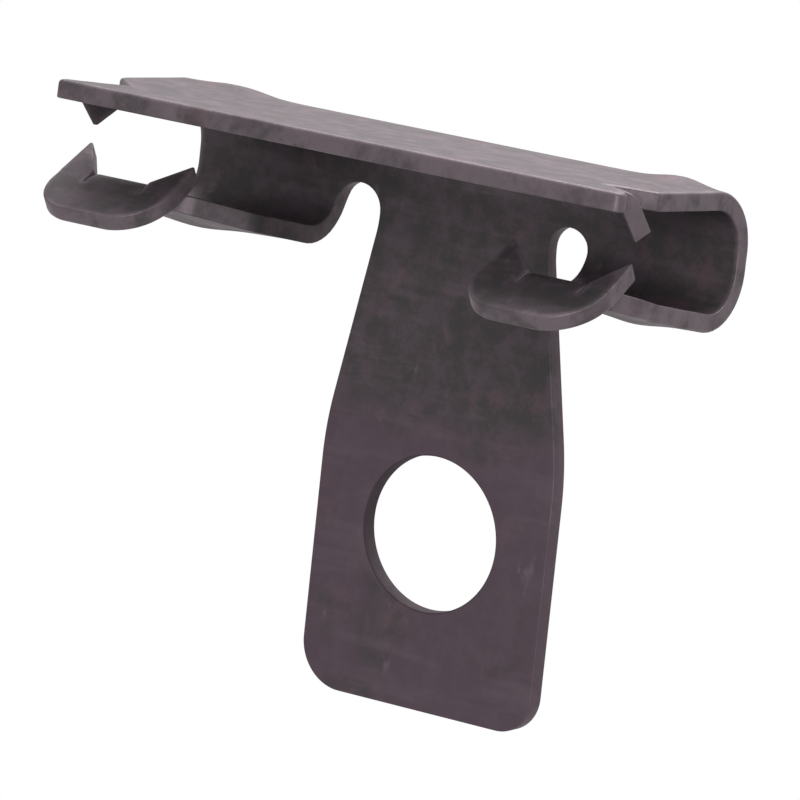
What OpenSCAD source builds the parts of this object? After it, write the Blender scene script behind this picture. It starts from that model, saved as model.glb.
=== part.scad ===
// Hammer-on flange clip, folded from one strip of spring steel.
// Two C-shaped jaws with pointed teeth grip the edge of a beam flange,
// and a flared tab with a large hole hangs between them.
// X runs along the clip, Y points from the open front to the back wall, Z is up.
// The origin is the middle of the tab hole, on the front face of the tab.

/* [Sheet] */
// Thickness of the spring steel
sheet_t = 1.5; // [1:0.1:2.5]

/* [Tab] */
// Diameter of the hole
hole_d = 12.7; // [6:0.1:16]
// Width of the tab at its lower end
tab_w = 22.2; // [20:0.1:26]
// Width of the tab between the slots
neck_w = 15.9; // [12:0.1:18]
// Distance from the hole centre down to the end of the tab
tab_end = 14.5; // [12:0.1:22]
// Radius of the two lower corners
tab_corner_r = 4; // [1:0.1:7]
// Height above the hole centre where the flare ends
flare_low = 7; // [4:0.1:12]
// Height above the hole centre where the flare begins
flare_high = 24; // [18:0.1:24]

/* [Jaws] */
// Length of the clip over both jaws
clip_w = 51.6; // [46:0.1:64]
// Height of the jaw floor above the hole centre
jaw_floor = 23.1; // [20:0.05:34]
// Height of the jaw opening at the back wall
jaw_h = 8.3; // [7.6:0.1:12]
// Inside radius of the fold between back wall and top plate
top_bend_r = 4; // [2:0.1:4.4]
// Inside radius of the fold between back wall and jaw floor
floor_bend_r = 3; // [1:0.1:3.4]
// Width of the slots between tab and jaws
slot_w = 4.5; // [2.5:0.05:5]
// Wall left between the top of a slot and the top fold
slot_wall = 0.4; // [0.2:0.05:1.5]

/* [Top plate] */
// Depth from the front face of the back wall to the front edge
plate_depth = 20; // [17:0.1:26]
// Rise of the plate towards the front, in degrees
plate_rise = 3.5; // [0:0.5:6]
// How far each end of the front strip stands out past the jaws
strip_out = 0.9; // [0:0.1:2]
// Depth of the front strip at its ends
strip_end = 1.2; // [0.8:0.1:1.8]
// Depth of the front strip at the outer end of a tooth's fold
strip_mid = 2.1; // [1.9:0.1:2.8]
// Depth of the front strip at the inner end of a tooth's fold
strip_root = 4.4; // [3.4:0.1:5]
// Distance from the end of the strip in to the fold of its tooth
tooth_inset = 1; // [0.4:0.1:1.6]
// Run of the fold of an upper tooth, along the clip
tooth_base = 3; // [2.5:0.1:4]
// Length of an upper tooth from its fold to its tip
tooth_len = 3.1; // [2.5:0.1:4.5]
// Depth of the end notch, measured from the front edge
notch_depth = 7.3; // [6.4:0.1:9]
// Angle by which an upper tooth is folded down
tooth_fold = 50; // [30:1:60]

/* [Jaw floor and lip] */
// Rise of the floor behind the crease, in degrees
floor_rise = 12; // [6:0.5:16]
// Rise of the floor in front of the crease, in degrees
front_rise = 16; // [8:0.5:20]
// Depth of the crease from the back wall
crease_depth = 11; // [9:0.1:13]
// Depth of the crest from the back wall
crest_depth = 18.1; // [16:0.1:22]
// Fall of the lip in front of the crest, in degrees
lip_fall = 34; // [30:1:60]
// Length of the lip below the crest
lip_len = 5.2; // [4.9:0.1:7]
// Radius of the lower corners of the lip
lip_corner_r = 3.6; // [1:0.1:3.8]
// How far the lip stands out past the outer end of its jaw
lip_out = 0.3; // [0:0.1:1.5]
// Distance from the inner end of a jaw to the inner end of its lip
lip_in = 2.6; // [0.5:0.1:4]
// Width of the neck that joins floor and lip
lip_neck = 5.25; // [4:0.05:7]
// Height of the two lip teeth above the crest, along the lip
lip_tooth = 2.55; // [1.5:0.05:3]

/* [Hidden] */
$fn = 96;

steel = [0.21, 0.19, 0.2];
// A fold of inside radius r runs on by this angle past both its ends, into the flats beside it
function over(r) = acos(1 - 0.015 / r);
// The flats begin this far past the ends of the fold, so that sheet and fold are one solid
function start(r) = 0.6 * r * sin(over(r));
// A fold is narrower than its flats by this at each end
hair = 0.02;
half_w = clip_w / 2;
slot_in = neck_w / 2;
slot_out = slot_in + slot_w;

// Centres of the two big folds, in the plane across the clip
top_y = -top_bend_r;
top_z = jaw_floor + jaw_h - top_bend_r;
floor_y = -floor_bend_r;
floor_z = jaw_floor + floor_bend_r;
slot_top = top_z - slot_wall;

// Radii that round the lower and upper ends of the flare
flare_low_r = 30;
flare_high_r = 8;

// Flat lengths of the top plate and of the two stretches of the jaw floor
plate_len = (plate_depth - top_bend_r * (1 - sin(plate_rise))) / cos(plate_rise);
floor_len = (crease_depth - floor_bend_r * (1 + sin(floor_rise))) / cos(floor_rise);
crest_r = 0.8;
crest_turn = front_rise + lip_fall;
relief = 0.1;
crest_cut = (crest_r + sheet_t) * tan(crest_turn / 2);
front_len = (crest_depth - crease_depth) / cos(front_rise) - crest_cut;

// The lip between its inner and outer side, and its neck
lip_x0 = slot_out + lip_in;
lip_x1 = half_w + lip_out;
neck_x0 = (lip_x0 + half_w) / 2 + 0.45 - lip_neck / 2;
neck_x1 = neck_x0 + lip_neck;

// The strip of the top plate at the front, and the fold line of its tooth
strip_x = half_w + strip_out;
fold_a = [strip_x - tooth_inset, strip_mid - plate_len];
fold_b = fold_a + [-tooth_base, strip_root - strip_mid];
notch_c = [half_w, notch_depth - plate_len];
fold_len = norm(fold_b - fold_a);
fold_turn = atan2(fold_b[1] - fold_a[1], fold_b[0] - fold_a[0]);
tooth_bend_r = 0.3;

// Points of an arc that rounds the corner q between p and s
function corner(p, q, s, r, n) =
    let (u = (p - q) / norm(p - q), v = (s - q) / norm(s - q),
         half = acos(u * v) / 2,
         c = q + (u + v) / norm(u + v) * r / sin(half),
         a = q + u * r / tan(half) - c,
         b = q + v * r / tan(half) - c,
         turn = acos(a * b / (r * r)),
         side = a[0] * b[1] - a[1] * b[0] > 0 ? 1 : -1)
    [for (i = [0 : n]) let (w = side * turn * i / n)
        c + [a[0] * cos(w) - a[1] * sin(w), a[0] * sin(w) + a[1] * cos(w)]];

// Material to take off a square corner so that a true arc is left, turned by a
module corner_cut(x, y, r, a) {
    translate([x, y]) rotate(a) difference() {
        translate([-0.2, -0.2]) square([r + 0.2, r + 0.2]);
        translate([r, r]) circle(r);
    }
}

// A folded stretch of sheet about the X axis, from angle a0 to a1 (Y towards Z)
module fold(r, a0, a1, x0, x1) {
    rotate([a0 - over(r), 0, 0]) rotate([90, 0, 90])
        rotate_extrude(angle = a1 - a0 + 2 * over(r))
            translate([r, x0 + hair]) square([sheet_t, x1 - x0 - 2 * hair]);
}

// Right half of the tab seen from the front
module tab_outline() {
    low = [tab_w / 2, flare_low];
    high = [neck_w / 2, min(flare_high, slot_top - slot_w / 2 - 0.75)];
    polygon(concat(
        [[0, -tab_end], [tab_w / 2, -tab_end]],
        corner([tab_w / 2, -tab_end], low, high, flare_low_r, 6),
        corner(low, high, [neck_w / 2, slot_top - slot_w / 2], flare_high_r, 6),
        [[neck_w / 2, slot_top - slot_w / 2], [0, slot_top - slot_w / 2]]));
}

// Back wall between the two folds, with the two slots open towards the floor
module band_outline() {
    low = floor_z + start(floor_bend_r);
    difference() {
        union() {
            translate([-half_w, low]) square([clip_w, top_z - start(top_bend_r) - low]);
            translate([-slot_in - 1, slot_top - slot_w / 2 - 1]) square([neck_w + 2, 3]);
        }
        for (s = [-1, 1]) translate([s * (slot_in + slot_w / 2), slot_top - slot_w / 2]) {
            circle(slot_w / 2);
            translate([-slot_w / 2, -10]) square([slot_w, 10]);
        }
    }
}

module wall() {
    translate([0, sheet_t, 0]) rotate([90, 0, 0]) linear_extrude(sheet_t)
        difference() {
            union() {
                tab_outline();
                mirror([1, 0]) tab_outline();
                band_outline();
            }
            circle(d = hole_d);
            corner_cut(-tab_w / 2, -tab_end, tab_corner_r, 0);
            corner_cut(tab_w / 2, -tab_end, tab_corner_r, 90);
        }
}

// Right half of the top plate seen from above; the top fold is at Y = 0
module plate_outline() {
    back = start(tooth_bend_r) * [-sin(fold_turn), cos(fold_turn)];
    polygon(concat(
        [[0, -start(top_bend_r)], [0, -plate_len]],
        corner([0, -plate_len], [strip_x, -plate_len], [strip_x, strip_end - plate_len], 0.5, 5),
        [[strip_x, strip_end - plate_len], fold_a + back, fold_b + back, notch_c,
         [half_w, -start(top_bend_r)]]));
}

// An upper tooth: its fold follows the slanted back edge of the front strip
module upper_tooth() {
    translate([fold_a[0], fold_a[1], 0]) rotate([0, 0, fold_turn]) {
        // the fold itself
        translate([0, 0, -tooth_bend_r])
            fold(tooth_bend_r, 90, 90 + tooth_fold, 0.1, fold_len - 0.1);
        // the pointed flap
        translate([0, 0, -tooth_bend_r]) rotate([tooth_fold, 0, 0])
            translate([0, 0, tooth_bend_r]) linear_extrude(sheet_t)
                polygon([[0.1, -start(tooth_bend_r)], [fold_len - 0.1, -start(tooth_bend_r)],
                         [fold_len - 0.1, -0.2], [1.8, -tooth_len], [1.3, -tooth_len],
                         [0.1, -0.2]]);
    }
}

module plate() {
    translate([0, top_y, top_z]) rotate([-plate_rise, 0, 0])
        translate([0, 0, top_bend_r]) for (s = [0, 1]) mirror([s, 0, 0]) {
            linear_extrude(sheet_t) plate_outline();
            upper_tooth();
        }
}

// One lip with its two teeth, in its own plane; the crest fold ends at Y = 0
module lip_outline() {
    tip = crest_cut + lip_tooth;
    difference() {
        polygon([[lip_x0, crest_cut - lip_len], [lip_x1, crest_cut - lip_len],
                 [lip_x1, crest_cut - 1], [lip_x1 - 0.45, tip], [lip_x1 - 0.85, tip],
                 [neck_x1 + relief, crest_cut + 0.1], [neck_x1 + relief, -3 * relief],
                 [neck_x1, -3 * relief], [neck_x1, -start(crest_r)],
                 [neck_x0, -start(crest_r)], [neck_x0, -3 * relief],
                 [neck_x0 - relief, -3 * relief], [neck_x0 - relief, crest_cut + 0.1],
                 [lip_x0 + 0.85, tip],
                 [lip_x0 + 0.45, tip], [lip_x0, crest_cut - 1]]);
        corner_cut(lip_x0, crest_cut - lip_len, lip_corner_r, 0);
        corner_cut(lip_x1, crest_cut - lip_len, lip_corner_r, 90);
    }
}

// Points beside the floor of a jaw, seen from its end: d along it and h above its inner face
function floor_at(d, h) =
    [-d * cos(floor_rise) + (h - floor_bend_r) * sin(floor_rise),
     d * sin(floor_rise) + (h - floor_bend_r) * cos(floor_rise)];
function front_at(d, h) = floor_at(floor_len, 0) +
    [-d * cos(front_rise) + h * sin(front_rise), d * sin(front_rise) + h * cos(front_rise)];

// Floor of a jaw from its fold over the crease to the crest, narrowed to the neck in front
module jaw_floor_sheet() {
    mid = (floor_rise + front_rise) / 2;
    deep = sheet_t / cos(front_rise - mid);
    end = front_len - start(crest_r);
    root = front_at(front_len - lip_tooth - 0.35, 0)[0];
    intersection() {
        translate([slot_out, 0, 0]) rotate([90, 0, 90]) linear_extrude(half_w - slot_out)
            polygon([floor_at(start(floor_bend_r), 0), floor_at(floor_len, 0), front_at(end, 0),
                     front_at(end, -sheet_t),
                     floor_at(floor_len, 0) - deep * [sin(mid), cos(mid)],
                     floor_at(start(floor_bend_r), -sheet_t)]);
        translate([0, 0, -jaw_h]) linear_extrude(2 * jaw_h)
            polygon([[slot_out - 1, 2], [slot_out - 1, floor_at(floor_len, 0)[0]],
                     [slot_out, floor_at(floor_len, 0)[0]], [lip_x0, root],
                     [neck_x0 - relief / 2, front_at(end, 0)[0]],
                     [neck_x0 - relief / 2, root - jaw_h], [neck_x1 + relief / 2, root - jaw_h],
                     [neck_x1 + relief / 2, front_at(end, 0)[0]],
                     [half_w, root - 1.15], [half_w + 1, root - 1.15], [half_w + 1, 2]]);
    }
}

// One jaw: fold at the back wall, rising floor, crest and lip
module jaw() {
    translate([0, floor_y, floor_z]) {
        fold(floor_bend_r, -90 - floor_rise, 0, slot_out, half_w);
        jaw_floor_sheet();
        crest = front_at(front_len, 0);
        translate([0, crest[0], crest[1]]) rotate([-front_rise, 0, 0])
            translate([0, 0, -sheet_t - crest_r]) {
                fold(crest_r, 90, 90 + crest_turn, neck_x0, neck_x1);
                rotate([crest_turn, 0, 0]) translate([0, 0, crest_r])
                    linear_extrude(sheet_t) lip_outline();
            }
    }
}

module flange_clip() {
    color(steel) {
        wall();
        translate([0, top_y, top_z])
            fold(top_bend_r, 0, 90 - plate_rise, -half_w, half_w);
        plate();
        jaw();
        mirror([1, 0, 0]) jaw();
    }
}

flange_clip();
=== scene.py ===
"""A hammer-on flange clip: one strip of dark spring steel, folded into two toothed jaws and a tab."""

import bpy
import numpy as np
from mathutils import Matrix, Vector
from mathutils.geometry import delaunay_2d_cdt


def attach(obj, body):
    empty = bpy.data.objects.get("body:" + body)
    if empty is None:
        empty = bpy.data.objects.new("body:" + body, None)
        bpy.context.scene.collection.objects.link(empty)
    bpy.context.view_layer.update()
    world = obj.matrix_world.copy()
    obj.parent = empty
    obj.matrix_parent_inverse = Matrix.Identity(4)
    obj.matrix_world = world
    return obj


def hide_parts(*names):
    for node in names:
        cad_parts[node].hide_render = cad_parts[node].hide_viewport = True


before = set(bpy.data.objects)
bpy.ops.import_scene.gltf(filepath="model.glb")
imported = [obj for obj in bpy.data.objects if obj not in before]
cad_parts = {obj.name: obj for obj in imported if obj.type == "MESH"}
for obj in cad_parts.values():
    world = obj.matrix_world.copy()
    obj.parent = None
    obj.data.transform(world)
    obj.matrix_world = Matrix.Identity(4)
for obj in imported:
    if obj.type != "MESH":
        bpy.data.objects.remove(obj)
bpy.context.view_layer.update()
scene = bpy.context.scene


# Camera: it stands in front of the clip, a little to the right and above, with a long lens, and leans about
# six degrees. The clip's origin shows at origin_px of a square picture that is picture_px wide.
cam = bpy.data.objects.new("camera", bpy.data.cameras.new("camera"))
scene.collection.objects.link(cam)
scene.camera = cam
turn, rise, roll = np.radians([33.3891, 10.3436, 6.0498])
away = np.array([np.cos(rise) * np.sin(turn), -np.cos(rise) * np.cos(turn), np.sin(rise)])
level = np.array([np.cos(turn), np.sin(turn), 0.0])
upright = np.cross(level, -away)
right = level * np.cos(roll) + upright * np.sin(roll)
up = upright * np.cos(roll) - level * np.sin(roll)
picture_px, focal_px, distance, film = 800, 7321.86, 0.5884, 36
origin_px = np.array([429.29, 534.45])
aside, below = (origin_px - picture_px / 2) / focal_px * distance
spot = distance * away - aside * right + below * up
cam.matrix_world = Matrix([[right[k], up[k], away[k], spot[k]] for k in range(3)] + [[0, 0, 0, 1]])
cam.data.sensor_width = film
cam.data.lens = focal_px / picture_px * film
cam.data.clip_start, cam.data.clip_end = 0.01, 10


# The clip: hardened spring steel with a dark phosphate finish, one blank punched from 1.5 mm sheet and folded
# in a press. The back wall carries a flared tab with a hole, and above it is the top plate with two slanted
# teeth. Below, each jaw has a floor, a crest and a toothed lip, and is hammered onto the edge of a flange.

# Sizes in mm: the sheet, the straight wall, inside radii and slopes of the folds, depths from the wall
t = 1.5
tab_low, hole_r = -14.5, 6.35
wall_top, wall_low, jaw_x = 27.4, 26.1, 11.8
r_top, r_floor, r_crest, r_tooth = 4.0, 3.0, 0.8, 0.3
a_top, a_floor, a_front, a_lip, a_tooth = np.radians([3.5, 12.0, 16.0, -30.0, 50.0])
plate_depth, crease_depth, crest_depth = 20, 11, 18.1
plate_x, strip_x, strip_s = 25.8, 26.7, 1.2
neck_in, neck_out, slit_in, slit_out, lip_drop = 18.25, 23.5, 18.15, 23.6, 5.12
rim_in, rim_out, rim_tab, no_corner = 0.14, 0.38, 0.1, 9.0

# Lengths along the unrolled inner face, and where each fold ends on it
plate_len = (plate_depth - r_top * (1 - np.sin(a_top))) / np.cos(a_top)
floor_len = (crease_depth - r_floor * (1 + np.sin(a_floor))) / np.cos(a_floor)
crest_cut = (r_crest + t) * np.tan((a_front - a_lip) / 2)
front_len = (crest_depth - crease_depth) / np.cos(a_front) - crest_cut
plate_s = wall_top + r_top * (np.pi / 2 - a_top)
front_s = plate_s + plate_len
floor_s = wall_low - r_floor * (np.pi / 2 + a_floor)
crease_s = floor_s - floor_len
crest_s = crease_s - front_len
lip_s = crest_s - (r_crest + t) * (a_front - a_lip)

# The slanted line, from tooth_a to tooth_b, about which the right upper tooth is bent
tooth_a = np.array([25.7, front_s - 2.1])
tooth_b = np.array([22.7, front_s - 4.4])
tooth_len = np.hypot(*(tooth_b - tooth_a))
tooth_u = (tooth_b - tooth_a) / tooth_len
tooth_v = np.array([-tooth_u[1], tooth_u[0]])
tooth_v = tooth_v if tooth_v[0] > 0 else -tooth_v
tooth_arc = r_tooth * a_tooth


def folded(x, s, h, zone):
    """Point of the folded sheet in m, for x across, s along the unrolled inner face and h into the sheet.

    Wall: (x, h, s). On a fold of inside radius r the inner face runs round its centre at radius r and the
    outer face at r + t, through an angle of length over r. Past the fold the sheet runs straight along its
    slope. The lip and its teeth (zone 1) lie in one plane, which falls away in front of the crest. The upper
    teeth are zone 2, the rest is zone 0.
    """
    side, ax = np.sign(x), np.abs(x)
    # slight bulges, bell curves both ways, that the press leaves at the folds near the ends of the clip
    middle, width, high = np.where(x > 0, [[21.6], [2.2], [0.4]], [[20.2], [3.0], [0.3]])
    bump = np.exp(-((ax - middle) / width) ** 2)
    h = h + high * bump * np.exp(-((s - plate_s + 0.6) / 2.2) ** 2)
    h = h + 0.38 * bump * np.exp(-((s - floor_s + 3.5) / 2.6) ** 2)
    # the plate's right end lies a little low and its left end a little high
    ends = np.clip((s - plate_s + 4) / 4, 0, 1) * np.clip((front_s - 3 - s) / 5, 0, 1)
    low, raised = 0.18 * np.clip((x - 22.5) / 2.5, 0, 1), 0.3 * np.clip((-x - 17) / 5, 0, 1)
    h = h + ends * np.where(x > 0, -low, raised)
    y, z = h, s

    # top fold and plate
    above = s > wall_top
    angle = np.clip((s - wall_top) / r_top, 0, np.pi / 2 - a_top)
    ahead = np.clip(s - plate_s, 0, None)
    y = np.where(above, -r_top + (r_top + h) * np.cos(angle) - ahead * np.cos(a_top), y)
    z = np.where(above, wall_top + (r_top + h) * np.sin(angle) + ahead * np.sin(a_top), z)

    # upper teeth: turned through a_tooth about the slanted line, then straight
    du, dv = ax - tooth_a[0], s - tooth_a[1]
    along = du * tooth_u[0] + dv * tooth_u[1]
    past = du * tooth_v[0] + dv * tooth_v[1]
    bend = np.clip(past / r_tooth, 0, a_tooth)
    flat = np.clip(past - tooth_arc, 0, None)
    reach = (r_tooth + h) * np.sin(bend) + flat * np.cos(a_tooth) + np.minimum(past, 0)
    sink = -r_tooth + (r_tooth + h) * np.cos(bend) - flat * np.sin(a_tooth)
    tx = tooth_a[0] + along * tooth_u[0] + reach * tooth_v[0]
    ts = tooth_a[1] + along * tooth_u[1] + reach * tooth_v[1] - plate_s
    ty = -r_top + (r_top + sink) * np.sin(a_top) - ts * np.cos(a_top)
    tz = wall_top + (r_top + sink) * np.cos(a_top) + ts * np.sin(a_top)
    upper = zone == 2
    ax, y, z = np.where(upper, tx, ax), np.where(upper, ty, y), np.where(upper, tz, z)

    # floor fold, floor, and the steeper front of the floor past its crease
    jaw = (s < wall_low) & (np.abs(x) > jaw_x)
    lip = jaw & ((s < lip_s) | (zone == 1))
    angle = np.clip((wall_low - s) / r_floor, 0, np.pi / 2 + a_floor)
    cy = -r_floor + (r_floor + h) * np.cos(angle)
    cz = wall_low - (r_floor + h) * np.sin(angle)
    for begin, length, slope in ((floor_s, floor_len, a_floor), (crease_s, front_len, a_front)):
        run = np.clip(begin - s, 0, length)
        cy, cz = cy - run * np.cos(slope), cz + run * np.sin(slope)
    steeper = s < crease_s
    cy = cy + np.where(steeper, h * (np.sin(a_floor) - np.sin(a_front)), 0)
    cz = cz + np.where(steeper, h * (np.cos(a_floor) - np.cos(a_front)), 0)
    # crest and lip: the crest's centre (ey, ez) is r_crest below the sheet's outer face, so the inner face
    # is the larger arc
    ey = (-r_floor - r_floor * np.sin(a_floor) - floor_len * np.cos(a_floor)
          - front_len * np.cos(a_front) - (t + r_crest) * np.sin(a_front))
    ez = (wall_low - r_floor * np.cos(a_floor) + floor_len * np.sin(a_floor)
          + front_len * np.sin(a_front) - (t + r_crest) * np.cos(a_front))
    slope = a_front - np.clip((crest_s - s) / (r_crest + t), 0, a_front - a_lip)
    crest = jaw & (s < crest_s)
    cy = np.where(crest, ey + (t + r_crest - h) * np.sin(slope), cy)
    cz = np.where(crest, ez + (t + r_crest - h) * np.cos(slope), cz)
    down = lip_s - s
    cy = np.where(lip, ey + (t + r_crest - h) * np.sin(a_lip) - down * np.cos(a_lip), cy)
    cz = np.where(lip, ez + (t + r_crest - h) * np.cos(a_lip) + down * np.sin(a_lip), cz)
    # the left jaw's floor stands a little high beside its slot, the right jaw hangs low towards its lip
    near = np.clip((wall_low - s) / 2, 0, 1)
    far = np.where(lip, 1, np.clip((floor_s - s) / (floor_s - crest_s), 0, 1))
    left_lift = (near - far) * 0.25 * np.clip((22 - ax) / 8, 0, 1)
    cz = cz + np.where(x < 0, left_lift, -0.1 * near - 0.4 * far)
    y, z = np.where(jaw, cy, np.minimum(y, t)), np.where(jaw, cz, z)
    # both lips lean a little to the left
    lean = np.where(lip, 0.1 * np.clip(down, 0, None), 0)
    return np.column_stack([side * ax - lean, y, z]) * 0.001


def counted(count):
    """For counts of things in a row: which one each belongs to, and its number within that one, from 0."""
    which = np.repeat(np.arange(len(count)), count)
    return which, np.arange(len(which)) - np.repeat(np.cumsum(count) - count, count)


def rounded(corners, step):
    """Closed outline through corners (x, s, radius, zone), in steps of about the given length.

    An arc touches both sides of its corner at radius / tan(half the angle) from it, and its centre is at
    radius / sin(half the angle). An almost straight corner stays a plain point. Returns the points, the
    radius of the outward corner each belongs to (no_corner elsewhere) and its zone.
    """
    q, r = corners[:, :2], corners[:, 2]
    u, v = np.roll(q, 1, 0) - q, np.roll(q, -1, 0) - q
    lu, lv = np.linalg.norm(u, axis=1), np.linalg.norm(v, axis=1)
    u, v = u / lu[:, None], v / lv[:, None]
    half = np.arccos(np.clip((u * v).sum(1), -1, 1)) / 2
    r = np.where(half < 1.56, r, 0)
    cut = np.minimum(r / np.tan(half), np.where(r > 3, 0.9, 0.45) * np.minimum(lu, lv))
    r = cut * np.tan(half)
    middle = (u + v) / np.maximum(np.linalg.norm(u + v, axis=1), 1e-9)[:, None]
    centre = q + middle * (r / np.sin(half))[:, None]
    a, b = q + u * cut[:, None] - centre, q + v * cut[:, None] - centre
    sweep = np.arctan2(a[:, 0] * b[:, 1] - a[:, 1] * b[:, 0], (a * b).sum(1))
    count = np.where(r == 0, 1, np.maximum(4, (np.abs(sweep) * r / step).astype(int) + 2))
    k, number = counted(count)
    w = sweep[k] * number / np.maximum(count - 1, 1)[k]
    line = centre[k] + np.column_stack([a[k, 0] * np.cos(w) - a[k, 1] * np.sin(w),
                                        a[k, 0] * np.sin(w) + a[k, 1] * np.cos(w)])
    tight = np.where((r > 0) & (sweep > 0), r, no_corner)[k]
    ahead = np.roll(line, -1, 0) - line
    count = np.maximum(1, np.ceil(np.linalg.norm(ahead, axis=1) / (step * 1.6)).astype(int))
    m, number = counted(count)
    share = (number / count[m])[:, None]
    return line[m] + ahead[m] * share, np.minimum(tight, np.roll(tight, -1))[m], corners[k, 3][m]


def half_blank(wide, low, neck, slot, top, inner, near, outer, far, turn, fang, end):
    """Corners (x, s, radius, zone) of half the blank: tab, slot, jaw with neck, lip and teeth, tooth, strip.

    wide and low are the tab's half width and lower radius, neck its narrowest. The slot begins the jaw at
    slot, and its round head, a half circle, ends at top. inner and outer are the lip's sides, near and far
    how high their teeth stand, turn its outer radius. fang is the upper tooth's length, end the wall's.
    """
    root = lip_s + crest_cut + 0.1
    valley, bottom = root + 0.1, root - lip_drop
    near, far = root + near, root + far
    slot_r, w = (slot - neck) / 2, np.radians(np.linspace(180, 0, 19))
    head = np.column_stack([neck + slot_r + slot_r * np.cos(w), top - slot_r + slot_r * np.sin(w),
                            0 * w, 0 * w])
    along = np.concatenate([np.full(5, tooth_len - 0.2), [1.75, 1.4], np.full(5, 0.1)])
    past = np.concatenate([tooth_arc * np.linspace(0, 1, 5), [fang, fang], tooth_arc * np.linspace(1, 0, 5)])
    tooth = np.column_stack([tooth_a + along[:, None] * tooth_u + past[:, None] * tooth_v,
                             np.where(past == fang, 0.15, 0), np.full(12, 2)])
    return np.vstack([
        [(wide, tab_low, low, 0), (wide, 7, 30, 0), (neck, 24, 8, 0)], head,
        [(slot, crease_s, 2, 0), (14.95, crest_s + 3.4, 1.2, 0), (neck_in, crest_s + 0.1, 0.3, 0),
         (neck_in, lip_s - 0.3, 0.04, 0), (slit_in, lip_s - 0.3, 0.04, 1), (slit_in, valley, 0.3, 1),
         (inner + 0.5, near, 0.15, 1), (inner + 0.25, near, 0.15, 1), (inner, root - 1, 1.5, 1),
         (inner, bottom, 3.9, 1), (outer, bottom, turn, 1), (outer, root - 0.6, 1.5, 1),
         (outer - 0.15, far, 0.15, 1), (outer - 0.4, far, 0.15, 1), (slit_out, valley, 0.3, 1),
         (slit_out, lip_s - 0.3, 0.04, 1), (neck_out, lip_s - 0.3, 0.04, 0),
         (neck_out, crest_s + 0.1, 0.3, 0), (plate_x, crest_s + 3.9, 1.2, 0),
         (end, floor_s + 2, 3.5, 0), (end, wall_top + 2, 3.5, 0),
         (plate_x, front_s - 7.3, 0.4, 0), (*tooth_b, 0, 0)], tooth,
        [(*tooth_a, 0, 0), (strip_x, front_s - strip_s, 0.5, 0), (strip_x, front_s, 0.8, 0)]])


# The two halves of the real clip aren't quite even
right_half = half_blank(wide=11.3, low=3.1, neck=8.2, slot=12.0, top=26.85, inner=14.4, near=3.2,
                        outer=25.8, far=3.2, turn=4.0, fang=3.3, end=25.8)
left_half = half_blank(wide=11.15, low=3.9, neck=8.05, slot=12.2, top=27.0, inner=15.4, near=3.0,
                       outer=26.45, far=3.4, turn=3.6, fang=3.0, end=26.25)
outline, tight, zone = rounded(np.vstack([right_half, left_half[::-1] * [-1, 1, 1, 1]]), step=0.28)
w = np.linspace(2 * np.pi, 0, 145)[:-1]
hole = hole_r * np.column_stack([np.cos(w), np.sin(w)])


def inside(p, loop):
    """Which points p are inside a closed loop, and their least distance to it.

    Inside: a line from the point towards +x crosses the loop an odd number of times. Distance: to the point
    at a share of each side, from 0 to 1, where a line square to the side meets it.
    """
    a, b = loop, np.roll(loop, -1, 0)
    cross = (a[:, 1] > p[:, 1:2]) != (b[:, 1] > p[:, 1:2])
    tall = np.where(b[:, 1] == a[:, 1], 1, b[:, 1] - a[:, 1])
    at = a[:, 0] + (p[:, 1:2] - a[:, 1]) / tall * (b[:, 0] - a[:, 0])
    odd = (cross & (p[:, :1] < at)).sum(1) % 2 == 1
    d = b - a
    share = np.clip(((p[:, None] - a) * d).sum(2) / (d * d).sum(1), 0, 1)
    gap = np.linalg.norm(p[:, None] - a - share[..., None] * d, axis=2).min(1)
    return odd, gap


def rim_rows(loop, tight, soft):
    """Ten rows round a loop that turn the edge of the sheet through two quarter circles.

    Each row is the loop moved into the sheet by radius times (1 - sine), at a depth below the nearer face of
    radius times (1 - cosine). The radius is rim_in on the inner face and soft on the outer one, less where a
    corner is tighter.
    """
    ahead = np.roll(loop, -1, 0) - loop
    ahead /= np.linalg.norm(ahead, axis=1)[:, None]
    left = np.column_stack([-ahead[:, 1], ahead[:, 0]])
    both = left + np.roll(left, 1, 0)
    both /= np.linalg.norm(both, axis=1)[:, None]
    both /= np.clip((both * left).sum(1), 0.75, 1)[:, None]
    reach = np.minimum([np.full(len(loop), rim_in), soft], 0.7 * tight)
    reach = np.min([np.roll(reach, k, 1) for k in range(-3, 4)], 0)
    inner, outer = np.mean([np.roll(reach, k, 1) for k in range(-2, 3)], 0)
    turn = np.radians([0, 22.5, 45, 67.5, 90])
    rows = [inner * (1 - np.sin(w)) for w in turn] + [outer * (1 - np.sin(w)) for w in turn[::-1]]
    depth = [inner * (1 - np.cos(w)) for w in turn] + [t - outer * (1 - np.cos(w)) for w in turn[::-1]]
    return [loop + both * r[:, None] for r in rows], depth


def rows_over(*spans):
    """Even rows over each span (from, to, spacing), without the span's last row."""
    return np.concatenate([np.linspace(a, b, int((b - a) / d) + 1)[:-1] for a, b, d in spans])


def crossed(across, along):
    """Every pair of a place across and a place along, as points."""
    return np.array(np.meshgrid(across, along)).reshape(2, -1).T


# Points on the sheet: rows close together on the folds and wider apart on the flats
cols = np.arange(-26.5, 26.6, 0.45)
rows = rows_over((-14.3, 20.7, 0.5), (floor_s, wall_low, 0.3), (wall_low, wall_top, 0.4),
                 (wall_top, plate_s, 0.28), (plate_s, front_s, 0.45))
jaw_rows = rows_over((lip_s - 4, lip_s, 0.4), (lip_s, crest_s, 0.2), (crest_s, crease_s, 0.4),
                     (crease_s, floor_s, 0.45), (floor_s, wall_low, 0.3))
grid = np.vstack([crossed(cols, rows[rows > wall_low - 0.01]),
                  crossed(cols[np.abs(cols) < 11.5], rows[rows <= wall_low]),
                  crossed(cols[np.abs(cols) > 11.6], jaw_rows)])
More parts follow.
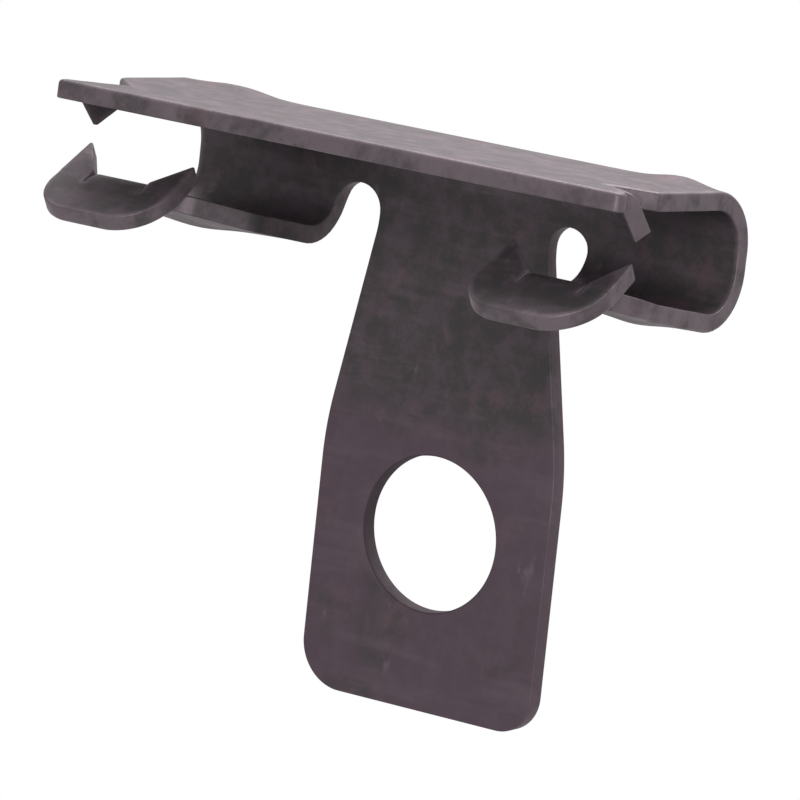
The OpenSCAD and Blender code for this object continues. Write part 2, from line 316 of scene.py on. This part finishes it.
# the upper teeth's folds have rows of their own, along the slanted line
bends = np.concatenate([[-0.3], tooth_arc * np.linspace(0, 1, 5), [tooth_arc + 0.3]])
bar = crossed(np.linspace(0.6, tooth_len - 0.7, 9), bends)
bar = tooth_a + bar[:, :1] * tooth_u + bar[:, 1:] * tooth_v
off = np.column_stack([np.abs(grid[:, 0]), grid[:, 1]]) - tooth_a
along, past = off @ tooth_u, off @ tooth_v
grid = grid[(along < 0) | (along > tooth_len) | (past < -0.45) | (past > tooth_arc + 0.45)]
grid = np.vstack([grid, bar, bar * [-1, 1]])
# all points stay clear of the rims
odd, gap = inside(grid, outline)
_, hole_gap = inside(grid, hole)
grid = grid[odd & (gap > 0.5) & (hole_gap > 0.42) & (np.hypot(*grid.T) > hole_r)]
soft = np.where((outline[:, 1] > plate_s) | (np.abs(outline[:, 0]) > 24) | (zone == 1), rim_out, rim_tab)
edge_rows, edge_depth = rim_rows(outline, tight, soft)
hole_rows, hole_depth = rim_rows(hole, np.full(len(hole), no_corner), np.full(len(hole), rim_tab))

# Flat triangulation between the first row of the outline and that of the hole. It merges equal points of
# the grid, and keeps the points of the two rows first and in order.
n0, n1 = len(outline), len(hole)
ring = np.arange(n0 + n1)
ahead = np.concatenate([np.roll(ring[:n0], -1), np.roll(ring[n0:], -1)])
made = delaunay_2d_cdt(np.vstack([edge_rows[0], hole_rows[0], grid]).tolist(),
                       np.column_stack([ring, ahead]).tolist(), [], 1, 1e-6)
pts, tri = np.array(made[0]), np.array(made[2])
mid = pts[tri].mean(1)
tri = tri[inside(mid, edge_rows[0])[0] & ~inside(mid, hole_rows[0])[0]]
e1, e2 = pts[tri[:, 1]] - pts[tri[:, 0]], pts[tri[:, 2]] - pts[tri[:, 0]]
back = e1[:, 0] * e2[:, 1] - e1[:, 1] * e2[:, 0] < 0
tri[back] = tri[back][:, ::-1]
n = len(pts)

# Front face, back face and the rounded rim between them
parts = np.zeros(n)
for k in (1, 2):
    for side in (-1, 1):
        parts[inside(pts, outline[(zone == k) & (outline[:, 0] * side > 0)])[0]] = k
parts[:n0] = zone
behind = pts.copy()
behind[ring] = np.vstack([edge_rows[9], hole_rows[9]])
verts = [folded(*pts.T, np.zeros(n), parts), folded(*behind.T, np.full(n, t), parts)]
faces = [tri, tri[:, ::-1] + n]
# Edges painted paler, partly worn and partly a painted highlight, and each point's distance from them in mm
worn_and_glinting_edges = outline[(zone == 1) | (outline[:, 1] > plate_s) | (np.abs(outline[:, 0]) > 24.5)]
distance_from_worn_and_glinting = [np.linalg.norm(pts[:, None] - worn_and_glinting_edges, axis=2).min(1)] * 2
cut = [np.zeros(2 * n)]
base = 2 * n
quads = []
for loops, depths, ids, part, dark in ((edge_rows, edge_depth, ring[:n0], zone, 0.15),
                                       (hole_rows, hole_depth, ring[n0:], np.zeros(n1), 1)):
    m = len(ids)
    for k in range(1, 9):
        verts.append(folded(loops[k][:, 0], loops[k][:, 1], depths[k], part))
        distance_from_worn_and_glinting.append(np.linalg.norm(loops[k][:, None] - worn_and_glinting_edges, axis=2).min(1))
        cut.append(np.clip(distance_from_worn_and_glinting[-1], 0, 1) * dark)
    index = [ids] + [base + m * k + np.arange(m) for k in range(8)] + [ids + n]
    base += 8 * m
    for a, b in zip(index[:-1], index[1:]):
        quads.append(np.column_stack([np.roll(a, -1), a, b, np.roll(b, -1)]))
mesh = bpy.data.meshes.new("clip")
mesh.from_pydata(np.vstack(verts), [], np.vstack(faces).tolist() + np.vstack(quads).tolist())
mesh.update()
mesh.polygons.foreach_set("use_smooth", [True] * len(mesh.polygons))
for name, values in (("rim", distance_from_worn_and_glinting), ("cut", cut)):
    amounts = np.concatenate(values).astype(np.float32)
    mesh.attributes.new(name, "FLOAT", "POINT").data.foreach_set("value", amounts)
clip = bpy.data.objects.new("clip", mesh)
scene.collection.objects.link(clip)
even = clip.modifiers.new("even shading", "WEIGHTED_NORMAL")
even.keep_sharp = False

# Phosphate finish: brown and grey clouds, fine grain, faint pale streaks and smudges, and painted shade that
# darkens the wall's front under the plate. The attribute rim, mm from the rubbed edges, makes those paler,
# partly from wear and partly as a painted highlight, and cut darkens the cut walls, that of the hole most.
steel = bpy.data.materials.new("phosphated spring steel")
steel.use_nodes = True
nodes, links = steel.node_tree.nodes, steel.node_tree.links
bsdf = nodes["Principled BSDF"]
place = nodes.new("ShaderNodeTexCoord")
# The cool grey is a greyer tone of the finish and also the painted shade on the wall's front under the plate.
brown, grey_tone_and_plate_shade, clouded = (0.053, 0.037, 0.047, 1), (0.030, 0.0285, 0.0285, 1), (0.062, 0.045, 0.056, 1)
# The bare colour is partly worn edges and partly a painted highlight along the rims.
reddish, streaked, bare_and_glint = (0.072, 0.046, 0.052, 1), (0.086, 0.066, 0.077, 1), (0.112, 0.090, 0.101, 1)
# The darkest colour here only darkens the cut walls, most in the hole.
smudged, cut_wall_dark = (0.11, 0.090, 0.104, 1), (0.03, 0.024, 0.027, 1)


def noise(scale, detail, rough, stretch=(1, 1, 1)):
    """Noise on the object's own coordinates: scale per metre, times stretch along each axis."""
    size = nodes.new("ShaderNodeMapping")
    size.inputs["Scale"].default_value = stretch
    links.new(place.outputs["Object"], size.inputs["Vector"])
    tex = nodes.new("ShaderNodeTexNoise")
    tex.inputs["Scale"].default_value = scale
    tex.inputs["Detail"].default_value = detail
    tex.inputs["Roughness"].default_value = rough
    links.new(size.outputs["Vector"], tex.inputs["Vector"])
    return tex.outputs["Fac"]


def between(value, low, high, out_low=0.0, out_high=1.0):
    """Value mapped smoothly from low..high to out_low..out_high."""
    part = nodes.new("ShaderNodeMapRange")
    part.interpolation_type = "SMOOTHSTEP"
    for name, number in (("From Min", low), ("From Max", high), ("To Min", out_low), ("To Max", out_high)):
        part.inputs[name].default_value = number
    links.new(value, part.inputs["Value"])
    return part.outputs["Result"]


def joined(kind, a, b):
    """Sum or product of two values."""
    math = nodes.new("ShaderNodeMath")
    math.operation = kind
    links.new(a, math.inputs[0])
    links.new(b, math.inputs[1])
    return math.outputs[0]


def blend(amount, a, b):
    """Colour a turned towards colour b by the amount."""
    mix = nodes.new("ShaderNodeMix")
    mix.data_type = "RGBA"
    for socket, colour in ((6, a), (7, b)):
        if isinstance(colour, tuple):
            mix.inputs[socket].default_value = colour
        else:
            links.new(colour, mix.inputs[socket])
    links.new(amount, mix.inputs[0])
    return mix.outputs[2]


from_edge, cut_walls = nodes.new("ShaderNodeAttribute"), nodes.new("ShaderNodeAttribute")
from_edge.attribute_name, cut_walls.attribute_name = "rim", "cut"
position = nodes.new("ShaderNodeSeparateXYZ")
links.new(place.outputs["Object"], position.inputs[0])
large = noise(95, 3, 0.55)
small = between(noise(420, 6, 0.7), 0.34, 0.68)
streak = between(noise(60, 5, 0.65, (1, 7, 7)), 0.45, 0.7)
grain = noise(3200, 3, 0.7)
patch = between(noise(170, 2, 0.5), 0.46, 0.62)
rust = between(noise(240, 4, 0.6, (1.0, 1.1, 0.9)), 0.56, 0.68)
smudge = joined("MULTIPLY", between(noise(560, 3, 0.6, (1, 1, 0.5)), 0.57, 0.72), patch)
uneven = between(noise(330, 4, 0.65), 0.3, 0.62, 0.25)
edge_wear_and_glint = joined("MULTIPLY", between(from_edge.outputs["Fac"], 0.0, 0.7, 1.0, 0.0), uneven)
# the wall's front is greyer above the hole, and darker towards the plate: a greyer tone and painted shade
# under the plate
grey_cloud_and_plate_shade = joined("MULTIPLY", between(position.outputs["Z"], 0.002, 0.016),
              between(position.outputs["Y"], 0.0012, 0.0004))
grey_cloud_and_plate_shade = joined("ADD", between(large, 0.48, 0.66, 0, 0.65), grey_cloud_and_plate_shade)
colour = blend(between(grey_cloud_and_plate_shade, 0.2, 0.9), brown, grey_tone_and_plate_shade)
for mask, share, tint in ((small, 0.6, clouded), (rust, 0.5, reddish), (streak, 0.3, streaked),
                          (edge_wear_and_glint, 0.7, bare_and_glint), (smudge, 0.45, smudged), (cut_walls.outputs["Fac"], 0.7, cut_wall_dark)):
    colour = blend(between(mask, 0, 1, 0, share), colour, tint)
links.new(colour, bsdf.inputs["Base Color"])
bsdf.inputs["Metallic"].default_value = 0.35
bsdf.inputs["Specular Tint"].default_value = (1, 0.85, 0.92, 1)
bsdf.inputs["Specular IOR Level"].default_value = 0.35
# rubbed and clouded places are smoother, the sheared walls rougher
polish = between(joined("ADD", small, edge_wear_and_glint), 0, 2, 0.56, 0.40)
dull = joined("ADD", polish, between(cut_walls.outputs["Fac"], 0, 1, 0, 0.4))
links.new(dull, bsdf.inputs["Roughness"])
relief = nodes.new("ShaderNodeBump")
relief.inputs["Strength"].default_value = 0.25
relief.inputs["Distance"].default_value = 0.00004
links.new(joined("ADD", grain, small), relief.inputs["Height"])
links.new(relief.outputs["Normal"], bsdf.inputs["Normal"])
clip.data.materials.append(steel)
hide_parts("flange_clip")
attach(clip, "root")


# Studio: a pale floor well below the clip in a plain white room, which the camera and the gloss see as
# white, with two large soft lamps, one above and behind, one in front. None of it is part of the object.
def seen_directly(tree_nodes, tree_links):
    """One for rays from the camera, off gloss or through glass, which see plain white; zero for others."""
    path = tree_nodes.new("ShaderNodeLightPath")
    total = path.outputs["Is Camera Ray"]
    for kind in ("Is Glossy Ray", "Is Transmission Ray"):
        either = tree_nodes.new("ShaderNodeMath")
        either.operation = "MAXIMUM"
        tree_links.new(total, either.inputs[0])
        tree_links.new(path.outputs[kind], either.inputs[1])
        total = either.outputs[0]
    return total


half, low = 3, -0.4
corners = [(-half, -half, low), (half, -half, low), (half, half, low), (-half, half, low)]
floor_mesh = bpy.data.meshes.new("floor")
floor_mesh.from_pydata(corners, [], [(0, 1, 2, 3)])
floor = bpy.data.objects.new("floor", floor_mesh)
scene.collection.objects.link(floor)
white = bpy.data.materials.new("white floor")
white.use_nodes = True
wn, wl = white.node_tree.nodes, white.node_tree.links
wn["Principled BSDF"].inputs["Base Color"].default_value = (0.8, 0.8, 0.8, 1)
wn["Principled BSDF"].inputs["Roughness"].default_value = 0.9
glow = wn.new("ShaderNodeEmission")
glow.inputs["Strength"].default_value = 1.0
mix = wn.new("ShaderNodeMixShader")
wl.new(seen_directly(wn, wl), mix.inputs[0])
wl.new(wn["Principled BSDF"].outputs[0], mix.inputs[1])
wl.new(glow.outputs[0], mix.inputs[2])
wl.new(mix.outputs[0], wn["Material Output"].inputs["Surface"])
floor.data.materials.append(white)

world = bpy.data.worlds.new("room")
scene.world = world
world.use_nodes = True
wn, wl = world.node_tree.nodes, world.node_tree.links
room = wn["Background"]
room.inputs["Color"].default_value = (1, 0.97, 0.99, 1)
room.inputs["Strength"].default_value = 0.45
plain = wn.new("ShaderNodeBackground")
plain.inputs["Strength"].default_value = 1.0
plain.inputs["Color"].default_value = (1, 1, 1, 1)
mix = wn.new("ShaderNodeMixShader")
wl.new(seen_directly(wn, wl), mix.inputs[0])
wl.new(room.outputs[0], mix.inputs[1])
wl.new(plain.outputs[0], mix.inputs[2])
wl.new(mix.outputs[0], wn["World Output"].inputs["Surface"])

aim = Vector((0, 0, 0.01))
for name, stand, size, power in (("top lamp", (-0.05, 0.25, 0.55), 0.5, 8.2),
                                 ("front lamp", (0.35, -0.5, 0.15), 0.4, 4)):
    lamp = bpy.data.objects.new(name, bpy.data.lights.new(name, "AREA"))
    scene.collection.objects.link(lamp)
    lamp.data.size, lamp.data.energy = size, power
    lamp.location = stand
    lamp.rotation_euler = (aim - Vector(stand)).to_track_quat("-Z", "Y").to_euler()

scene.view_settings.view_transform = "Standard"
